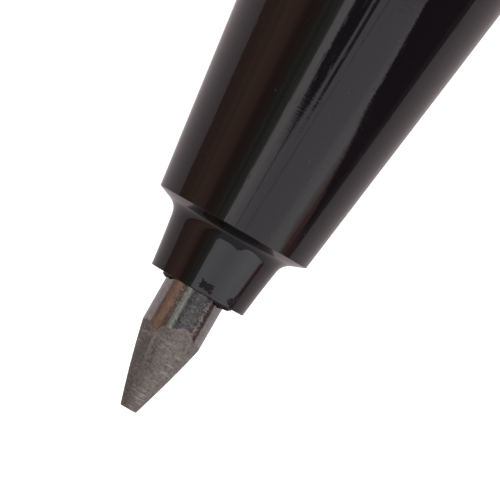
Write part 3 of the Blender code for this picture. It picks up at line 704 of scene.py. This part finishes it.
def box_tool(name, low, high):
    """A box for cutting, from its lowest corner to its highest."""
    size = Vector(high) - Vector(low)
    middle = (Vector(high) + Vector(low)) / 2
    bm = bmesh.new()
    place = Matrix.Translation(middle) @ Matrix.Diagonal((*size, 1.0))
    bmesh.ops.create_cube(bm, size=1.0, matrix=place)
    return object_from(name, bm)


def cut_out(made, tool):
    """Cuts a tool out of a piece for good, and takes the tool away."""
    modifier = made.modifiers.new("cut", "BOOLEAN")
    modifier.operation = "DIFFERENCE"
    modifier.object = tool
    modifier.solver = "EXACT"
    depsgraph = bpy.context.evaluated_depsgraph_get()
    mesh = bpy.data.meshes.new_from_object(made.evaluated_get(depsgraph))
    made.modifiers.clear()
    made.data = mesh
    bpy.data.objects.remove(tool)
    mesh.shade_smooth()
    mesh.set_sharp_from_angle(angle=SHARP_ANGLE)


def end_plug(plastic):
    """The plug that closes the tail. Its head shows once the cap is pulled off."""
    start = BARREL_REAR + TAIL_LENGTH + FACE_GAP
    stem = BARREL_BORE - PRESS_GAP
    inner = stem - PLUG_WALL
    floor = start + PLUG_HEAD - PLUG_FLOOR
    corners = [
        (start - PLUG_STEM, inner, 0.0),
        (start - PLUG_STEM, stem, TAIL_LEAD / 2),
        (start, stem, 0.0),
        (start, PLUG_HEAD_RADIUS, 0.05 * MM),
        (start + PLUG_HEAD, PLUG_HEAD_RADIUS, PLUG_HEAD / 3),
        (start + PLUG_HEAD, 0.0, 0.0),
        (floor, 0.0, 0.0),
        (floor, inner, 0.2 * MM),
    ]
    made = turned("end_plug_detailed", softened(corners))
    finish(made, plastic, "pen", "end_plug")


def shell_radius(station):
    """Outer radius of the cap shell at a station of the cap."""
    return CAP_RADIUS - (CAP_RADIUS - CAP_CROWN_RADIUS) * station / CAP_LENGTH


def cap_shell(plastic):
    """The cap's tube, with a lip at its mouth, a seat for the inner cap and a slot for the clip."""
    corners = [
        (0.0, CAP_BORE, 0.08 * MM),
        (0.0, CAP_LIP_RADIUS, 0.15 * MM),
        (CAP_LIP_WIDTH - CAP_LIP_HEIGHT, CAP_LIP_RADIUS, 0.08 * MM),
        (CAP_LIP_WIDTH, shell_radius(CAP_LIP_WIDTH), 0.08 * MM),
        (CAP_LENGTH, CAP_CROWN_RADIUS, 0.08 * MM),
        (CAP_LENGTH, CAP_INNER_SEAT, 0.0),
        (CAP_SEAT_START, CAP_INNER_SEAT, 0.05 * MM),
        (CAP_SEAT_START, CAP_BORE, 0.05 * MM),
    ]
    made = turned("cap_shell_detailed", softened(corners), CAP_MOUTH)
    half_long = CLIP_THICKNESS / 2 + CLIP_SLOT_GAP
    half_wide = CLIP_WIDTH / 2 + CLIP_SLOT_GAP
    middle = CAP_MOUTH + CLIP_ROOT
    low = (middle - half_long, -half_wide, AXIS_HEIGHT + CAP_INNER_SEAT / 2)
    high = (middle + half_long, half_wide, AXIS_HEIGHT + 2 * CAP_RADIUS)
    cut_out(made, box_tool("clip_slot", low, high))
    finish(made, plastic, "cap", "cap_shell")


def cap_crown(plastic):
    """The plug that closes the cap, with the recess for its disc and a window for the clip."""
    head = CAP_LENGTH + FACE_GAP
    face = head + CROWN_HEAD
    spigot = CAP_INNER_SEAT - PRESS_GAP
    spigot_start = head - CROWN_SPIGOT_LENGTH
    recess = face + DISC_PROUD - DISC_THICKNESS - FACE_GAP
    hollow = recess - CROWN_FLOOR
    pin_bore = DISC_PIN_RADIUS + PRESS_GAP
    corners = [
        (spigot_start, spigot - CROWN_WALL, 0.1 * MM),
        (spigot_start, spigot, 0.2 * MM),
        (head, spigot, 0.0),
        (head, CAP_CROWN_RADIUS, 0.08 * MM),
        (face, CAP_CROWN_RADIUS, CROWN_EDGE),
        (face, DISC_RADIUS + DISC_RIM_GAP, 0.1 * MM),
        (recess, DISC_RADIUS + DISC_RIM_GAP, 0.05 * MM),
        (recess, pin_bore, 0.0),
        (hollow, pin_bore, 0.0),
        (hollow, spigot - CROWN_WALL, 0.1 * MM),
    ]
    made = turned("cap_crown_detailed", softened(corners), CAP_MOUTH)
    front = CAP_MOUTH + CLIP_ROOT - CLIP_THICKNESS / 2 - CLIP_SLOT_GAP
    back = CAP_MOUTH + CLIP_ROOT + CLIP_FOOT_LENGTH + CLIP_SLOT_GAP
    half_wide = CLIP_WIDTH / 2 + CLIP_SLOT_GAP
    low = (front, -half_wide, AXIS_HEIGHT)
    high = (back, half_wide, AXIS_HEIGHT + 2 * spigot)
    cut_out(made, box_tool("foot_window", low, high))
    finish(made, plastic, "cap", "cap_crown")


def crown_disc():
    """The disc that shows the line width by its colour: faintly domed, with turned rings."""
    end = CAP_LENGTH + FACE_GAP + CROWN_HEAD + DISC_PROUD
    back = end - DISC_THICKNESS
    dome = 0.06 * MM
    ring_depth = 0.006 * MM
    rings = 24
    face = []
    for number in range(rings, 0, -1):
        share = number / rings
        sunk = dome * share**2 + (ring_depth if number % 2 else 0.0)
        face.append((end - sunk, 0.93 * DISC_RADIUS * share))
    outline = [(back - DISC_PIN_LENGTH, 0.0), (back - DISC_PIN_LENGTH, DISC_PIN_RADIUS)]
    outline += [(back, DISC_PIN_RADIUS), (back, DISC_RADIUS - 0.05 * MM)]
    outline += [(back + 0.05 * MM, DISC_RADIUS), (end - 0.22 * MM, DISC_RADIUS)]
    outline += [(end - 0.13 * MM, 0.985 * DISC_RADIUS), (end - 0.08 * MM, 0.96 * DISC_RADIUS)]
    outline += face + [(end, 0.0)]
    made = turned("crown_disc_detailed", outline, CAP_MOUTH)
    grey = satin_plastic("grey_moulded_polypropylene", "#6c6d70", "#77787b", 0.42, 0.30, 0.12)
    finish(made, grey, "cap", "crown_disc")


def clip_line():
    """Middle line of the clip as (station, height above the axis), from its foot to its tip."""
    half = CLIP_THICKNESS / 2
    arm = shell_radius(CLIP_ROOT) + CLIP_ROOT_RISE + half
    foot = math.sqrt(CAP_INNER_SEAT**2 - (CLIP_WIDTH / 2) ** 2) - CLIP_FOOT_DROP - half
    tip = CLIP_ROOT - CLIP_LENGTH
    bump = tip + CLIP_BUMP_TO_TIP
    bump_height = shell_radius(bump) + CLIP_BUMP_GAP + half
    tip_height = shell_radius(tip) + CLIP_TIP_RISE + half
    bend_centre = (CLIP_ROOT - CLIP_BEND, arm - CLIP_BEND)
    heel_centre = (CLIP_ROOT + CLIP_HEEL, foot + CLIP_HEEL)
    line = [(CLIP_ROOT + CLIP_FOOT_LENGTH, foot)]
    line += arc(heel_centre, CLIP_HEEL, -math.pi / 2, -math.pi)
    line += arc(bend_centre, CLIP_BEND, 0.0, math.pi / 2)
    arm_start = line[-1][0]
    arm_steps = 40
    for step in range(1, arm_steps + 1):
        share = step / arm_steps
        fall = share**3 * (3 - 2 * share)
        line.append((arm_start + (bump - arm_start) * share, arm + (bump_height - arm) * fall))
    end_steps = 14
    for step in range(1, end_steps + 1):
        share = step / end_steps
        height = bump_height + (tip_height - bump_height) * share**2
        line.append((bump + (tip - bump) * share, height))
    return line


def strip_section(half_width, half_thick, corner):
    """(across, up) points of a strip's section with its edges rounded."""
    points = []
    for quarter, (side, face) in enumerate(((1, 1), (-1, 1), (-1, -1), (1, -1))):
        centre = (side * (half_width - corner), face * (half_thick - corner))
        start = quarter * math.pi / 2
        points += arc(centre, corner, start, start + math.pi / 2, steps=3)
    return points


def clip():
    """The steel strip, its edges tumbled round and its tip rounded in plan."""
    line = clip_line()
    length = line[0][0] - line[-1][0]
    tip = line[-1][0]
    bm = bmesh.new()
    rings = []
    for number, (station, height) in enumerate(line):
        before = Vector(line[max(number - 1, 0)])
        after = Vector(line[min(number + 1, len(line) - 1)])
        along = (after - before).normalized()
        normal = Vector((-along.y, along.x))
        share = (line[0][0] - station) / length
        half_width = (CLIP_WIDTH + (CLIP_TIP_WIDTH - CLIP_WIDTH) * share) / 2
        rounding = CLIP_TIP_WIDTH / 2
        from_end = max(0.0, rounding - (station - tip))
        if from_end:
            round_end = math.sqrt(max(0.0, half_width**2 - from_end**2))
            half_width = max(CLIP_TIP_FLAT / 2, round_end)
        section = strip_section(half_width, CLIP_THICKNESS / 2, CLIP_EDGE)
        ring = []
        for across, up in section:
            point = (
                CAP_MOUTH + station + normal.x * up,
                across,
                AXIS_HEIGHT + height + normal.y * up,
            )
            ring.append(bm.verts.new(point))
        rings.append(ring)
    for first, second in zip(rings, rings[1:]):
        for side in range(len(first)):
            after = (side + 1) % len(first)
            bm.faces.new((first[side], first[after], second[after], second[side]))
    bm.faces.new(rings[0])
    bm.faces.new(rings[-1])
    made = object_from("clip_detailed", bm)
    finish(made, rolled_spring_steel(), "clip", "clip")


def hidden_pieces():
    """The CAD pieces inside the pen keep their shapes and get their own materials."""
    inside = {
        "inner_cap": satin_plastic("white_moulded_polyethylene", "#d6d5cf", "#e2e1dc", 0.5, 0.4, 0.15),
        "reservoir_core": inked_fibre(),
        "reservoir_film": satin_plastic("clear_polyester_film", "#d3d5d8", "#dfe1e3", 0.22, 0.12, 0.4),
        "breather_tube": satin_plastic("extruded_polyethylene", "#bdbcb6", "#cac9c4", 0.45, 0.35, 0.2),
    }
    for node, material in inside.items():
        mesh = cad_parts[node].data
        mesh.materials.clear()
        mesh.materials.append(material)


# ---------------- studio


def angled(distance, angle):
    """(y, z) at a distance from the pen's axis, so many degrees from straight up towards -Y."""
    turn = math.radians(angle)
    return -distance * math.sin(turn), AXIS_HEIGHT + distance * math.cos(turn)


def against_wall(place, angle):
    """(y, z) where the line at that angle from the pen's axis meets an upright wall at y."""
    return place, AXIS_HEIGHT - place / math.tan(math.radians(angle))


def reflected_only(made):
    made.visible_camera = False
    made.visible_diffuse = False
    made.visible_shadow = False
    made.visible_transmission = False


def glow(name, colour, strength):
    material = bpy.data.materials.new(name)
    material.use_nodes = True
    tree = material.node_tree
    tree.nodes.clear()
    light = add(tree, "Emission", "Emission", Color=colour, Strength=strength)
    out = tree.nodes.new("ShaderNodeOutputMaterial")
    tree.links.new(light, out.inputs["Surface"])
    return material


def card(name, corners, colour, strength=1.0):
    """A flat studio card that shows only in reflections."""
    bm = bmesh.new()
    bm.faces.new([bm.verts.new(corner) for corner in corners])
    made = object_from(name, bm)
    made.data.materials.append(glow(name, rgba(colour), strength))
    reflected_only(made)


def graded_card(name, rows, x_low, x_high):
    """A card along X whose colour blends from one row of (place, colour, strength) to the next.

    x_low and x_high list where each row starts and ends.
    """
    mesh = bpy.data.meshes.new(name)
    points = []
    for ((y, z), colour, strength), low, high in zip(rows, x_low, x_high):
        points += [(low, y, z), (high, y, z)]
    faces = [(2 * n, 2 * n + 1, 2 * n + 3, 2 * n + 2) for n in range(len(rows) - 1)]
    mesh.from_pydata(points, [], faces)
    shades = mesh.color_attributes.new("shade", "FLOAT_COLOR", "POINT")
    for number, (_, colour, strength) in enumerate(rows):
        shade = (*[strength * channel for channel in linear(colour)], 1.0)
        shades.data[2 * number].color = shade
        shades.data[2 * number + 1].color = shade
    made = bpy.data.objects.new(name, mesh)
    bpy.context.scene.collection.objects.link(made)
    material = glow(name, (1.0, 1.0, 1.0, 1.0), 1.0)
    tree = material.node_tree
    shade = add(tree, "VertexColor", "Color", {"layer_name": "shade"})
    tree.links.new(shade, tree.nodes["Emission"].inputs["Color"])
    mesh.materials.append(material)
    reflected_only(made)


def side_wall():
    """Beside the pen at +Y: a brown wooden bench on edge, then dark green leaves, up to the lamp."""
    place = 64 * MM
    start = -0.45
    # Angles from straight up, and the colours that lie there
    bands = [
        (-94.8, "#957365"), (-90, "#977566"), (-85, "#a2796c"), (-79, "#a67e6c"),
        (-75, "#b78d79"), (-70, "#b18973"), (-65, "#c49b81"), (-60, "#bf937c"),
        (-55, "#ba8e76"), (-51.5, "#b88873"), (-48, "#9d7462"), (-45, "#876353"),
        (-42, "#775a4b"), (-36, "#7c6253"), (-31, "#7a716a"), (-29, "#968e86"),
        (-27, "#6d7367"), (-24, "#757d70"), (-21.5, "#959d8e"), (-20, "#7e877a"),
        (-18, "#9ba096"), (-15.4, "#b0b1a9"),
    ]
    rows = [(against_wall(place, angle), colour, 1.0) for angle, colour in bands]
    graded_card("side_wall", rows, [start] * len(rows), [CARDS_END] * len(rows))


def lamp_arch():
    """Over the pen: a bright strip lamp, then one broad soft window down to the table at -Y."""
    distance = 0.45
    start = -0.225
    # Angles from straight up, colours and strengths
    bands = [
        (-15.2, "#fffafa", 1.50), (-8.5, "#fffafa", 1.60), (-6.5, "#fff9fa", 1.40),
        (-1, "#fff8fb", 1.27), (4, "#fff8fc", 1.12), (12, "#fff7ff", 1.03),
        (30, "#fcf4ff", 1.06), (46, "#fdf5ff", 1.08), (52, "#fff7fd", 1.10),
        (57, "#fffafd", 1.30), (65, "#fffafc", 1.38), (96, "#fff9fa", 1.34),
    ]
    rows = [(angled(distance, angle), colour, strength) for angle, colour, strength in bands]
    graded_card("lamp_arch", rows, [start] * len(rows), [CARDS_END] * len(rows))


def near_panel():
    """A soft panel close over the neck, a little brighter than the arch, with a notched edge."""
    distance = 30 * MM
    rear = -77.7 * MM
    # Angles from straight up, where the panel starts along X in millimetres, and strengths
    edges = [
        (-13, -84, 1.42), (-2, -88, 1.50), (10, -88, 1.36), (20, -84, 1.30),
        (28.5, -79.8, 1.30), (37, -84, 1.38), (48, -98, 1.50), (60, -106, 1.62),
        (72, -106, 1.56), (80, -98, 1.40), (86, -88, 1.25), (91, -80, 1.10),
    ]
    rows = [(angled(distance, angle), "#f9f7ff", strength) for angle, front, strength in edges]
    fronts = [front * MM for angle, front, strength in edges]
    graded_card("near_panel", rows, fronts, [rear] * len(edges))


def upright(name, place, outline, colour):
    """A card standing at y, its outline given as (x, z) in millimetres."""
    card(name, [(x * MM, place, z * MM) for x, z in outline], colour)


def overhead(name, outline, colour, strength=1.0):
    """A card level above the pen, its outline given as (x, y) in millimetres."""
    height = AXIS_HEIGHT + 120 * MM
    card(name, [(x * MM, y * MM, height) for x, y in outline], colour, strength)


def hand_and_lens():
    """The dark things round the pen: a hand close at -Y, and the camera straight overhead."""
    hand = [
        (-50, 0), (-50, 80), (-60, 68), (-68, 43.5), (-71.1, 33.6), (-72.0, 31.3),
        (-73.0, 28.9), (-73.2, 24.0), (-73.9, 17.8), (-74.4, 14.6), (-75.2, 11.0), (-76.0, 7.0),
        (-76.4, 0),
    ]
    knuckle = [(-75.5, 9.6), (-79.0, 9.2), (-80.4, 4.6), (-86.0, 3.6), (-86.0, 0), (-75.5, 0)]
    finger = [
        (-72.0, 24.0), (-73.6, 19.4), (-74.3, 16.6), (-75.0, 15.6), (-77.0, 15.1),
        (-78.6, 14.6), (-79.8, 6.2), (-86.0, 4.6), (-86.0, 0), (-72.0, 0),
    ]
    fingertip = [
        (-72.4, 24.4), (-73.6, 21.6), (-74.6, 20.0), (-76.0, 19.2), (-78.4, 18.8), (-79.6, 8.0),
        (-86.0, 5.8), (-86.0, 0), (-72.4, 0),
    ]
    fingernail = [
        (-72.8, 26.0), (-74.0, 23.8), (-76.0, 22.9), (-78.2, 22.6), (-79.4, 10.0), (-86.0, 7.0),
        (-86.0, 0), (-72.8, 0),
    ]
    lit_edge = [(-50, 4.8), (-76.2, 4.8), (-77.0, 0), (-50, 0)]
    # Each card stands just behind the one before it, with the paper's light on the lowest edge.
    upright("hand_card", -44 * MM, hand, "#46303a")
    upright("lit_edge_card", -43.8 * MM, lit_edge, "#655a5d")
    upright("knuckle_card", -44.2 * MM, knuckle, "#9a6664")
    upright("finger_card", -44.4 * MM, finger, "#c58d88")
    upright("fingertip_card", -44.6 * MM, fingertip, "#f2cfc9")
    upright("fingernail_card", -44.8 * MM, fingernail, "#fffafa")
    lens = [
        (-60, 13.5), (-87.5, 13.0), (-90.0, 10.5), (-91.8, 8.8), (-92.4, 5.5), (-93.3, 1.0),
        (-94.4, -5.2), (-110, -5.8), (-110, -6.4), (-94.8, -6.6), (-93.2, -9.8), (-92.0, -13.8),
        (-90.2, -14.9), (-87.5, -16.9), (-60, -17.2),
    ]
    overhead("lens_card", lens, "#4c474f")
    overhead("strap_card", [(-60, -22.6), (-92.5, -22.8), (-92.9, -30.5), (-60, -30.7)], "#6a656c")
    thread = [(-80, -50.5), (-87.3, -46), (-91, -43.7), (-94.7, -41.3), (-99, -37.8), (-104, -33)]
    thread += [(x, y - 1.2) for x, y in reversed(thread)]
    overhead("thread_card", thread, "#7a767c")


def barrel_strips():
    """Two long soft strips beside the barrel and cap, and one over them, for their highlights."""
    near, far = CARDS_END, 0.60
    strips = [
        ("front_strip", -0.26, 0.15, -0.20, 0.28, 2.4),
        ("back_strip", 0.26, 0.14, 0.20, 0.25, 1.8),
        ("top_strip", -0.06, 0.42, 0.05, 0.43, 1.2),
    ]
    for name, low_y, low_z, high_y, high_z, strength in strips:
        low_edge = [(near, low_y, low_z), (far, low_y, low_z)]
        high_edge = [(far, high_y, high_z), (near, high_y, high_z)]
        card(name, low_edge + high_edge, "#ffffff", strength)


def nib_cards():
    """What the polished rod of the nib mirrors from straight above it."""
    overhead("nib_lamp_card", [(-81.5, 110), (-81.5, 30), (-68, 30), (-68, 110)], "#fbfaee", 0.68)
    overhead("nib_dark_card", [(-81.5, 26), (-81.5, -34), (-68, -34), (-68, 26)], "#5e5c5c")
    overhead("nib_cloud_card", [(-81.5, -34), (-90, -150), (-40, -150), (-50, -34)], "#777373")
    overhead("nib_sky_card", [(-90, -150), (-115, -600), (-40, -600), (-40, -150)], "#615b5a")


def table():
    """White paper under the pen. A second sheet, a little darker, is what reflections see."""
    half = 1.5
    corners = ((-half, -half, 0.0), (half, -half, 0.0), (half, half, 0.0), (-half, half, 0.0))
    sheets = [("table_paper", -0.02 * MM), ("table_in_reflections", -0.04 * MM)]
    made = []
    for name, height in sheets:
        bm = bmesh.new()
        bm.faces.new([bm.verts.new(corner) for corner in corners])
        sheet = object_from(name, bm)
        sheet.location.z = height
        made.append(sheet)
    paper, mirrored = made
    material, _, _ = start_material(
        "white_paper", Base_Color=rgba("#bcbcbc"), Roughness=0.9, Specular_IOR_Level=0.0,
        Emission_Color=rgba("#ffffff"), Emission_Strength=0.93
    )
    paper.data.materials.append(material)
    paper.visible_glossy = False
    mirrored.data.materials.append(glow("paper_in_reflections", rgba("#ccbfc1"), 1.0))
    reflected_only(mirrored)


def room():
    """An even, dim room, white where the camera looks past the table."""
    made = bpy.data.worlds.new("studio_room")
    bpy.context.scene.world = made
    made.use_nodes = True
    tree = made.node_tree
    tree.nodes.clear()
    sight = add(tree, "LightPath", "Is Camera Ray")
    dim = add(tree, "Background", "Background", Color=rgba("#ffffff"), Strength=0.4)
    white = add(tree, "Background", "Background", Color=rgba("#ffffff"), Strength=1.0)
    mixed = add(tree, "MixShader", "Shader", Fac=sight, i1=dim, i2=white)
    out = tree.nodes.new("ShaderNodeOutputWorld")
    tree.links.new(mixed, out.inputs["Surface"])


def softbox():
    """One large soft light above and a little in front."""
    data = bpy.data.lights.new("softbox", "AREA")
    data.shape = "RECTANGLE"
    data.size = 0.45
    data.size_y = 0.45
    data.energy = 3.4
    made = bpy.data.objects.new("softbox", data)
    bpy.context.scene.collection.objects.link(made)
    made.location = (0.0, -0.26, 0.45)
    aim = Vector((0.0, 0.0, 0.0)) - made.location
    made.rotation_euler = aim.to_track_quat("-Z", "Y").to_euler()
    made.visible_camera = False
    made.visible_glossy = False


def camera():
    """Straight above the nib, turned so that the pen points down and to the left."""
    data = bpy.data.cameras.new("camera")
    data.lens = 300
    data.sensor_width = 36
    data.clip_start = 0.001
    data.clip_end = 10
    made = bpy.data.objects.new("camera", data)
    bpy.context.scene.collection.objects.link(made)
    frame_width = 15.60 * MM
    distance = frame_width * data.lens / data.sensor_width
    # The frame's middle lies this far from the middle of the shoulder, along and across the pen.
    ahead = 0.367 * MM
    aside = 0.812 * MM
    made.location = (TIP + SHOULDER - ahead, -aside, AXIS_HEIGHT + distance)
    made.rotation_euler = (0.0, 0.0, math.radians(-60.14))
    bpy.context.scene.camera = made


def colours():
    settings = bpy.context.scene.view_settings
    settings.view_transform = "Standard"
    settings.look = "None"


# ---------------- scene

camera()
table()
room()
side_wall()
lamp_arch()
near_panel()
hand_and_lens()
nib_cards()
barrel_strips()
softbox()
colours()

black = black_moulded_polystyrene()
nib()
nib_bush()
nose_section(black)
barrel(black)
end_plug(black)
cap_shell(black)
cap_crown(black)
crown_disc()
clip()
hidden_pieces()
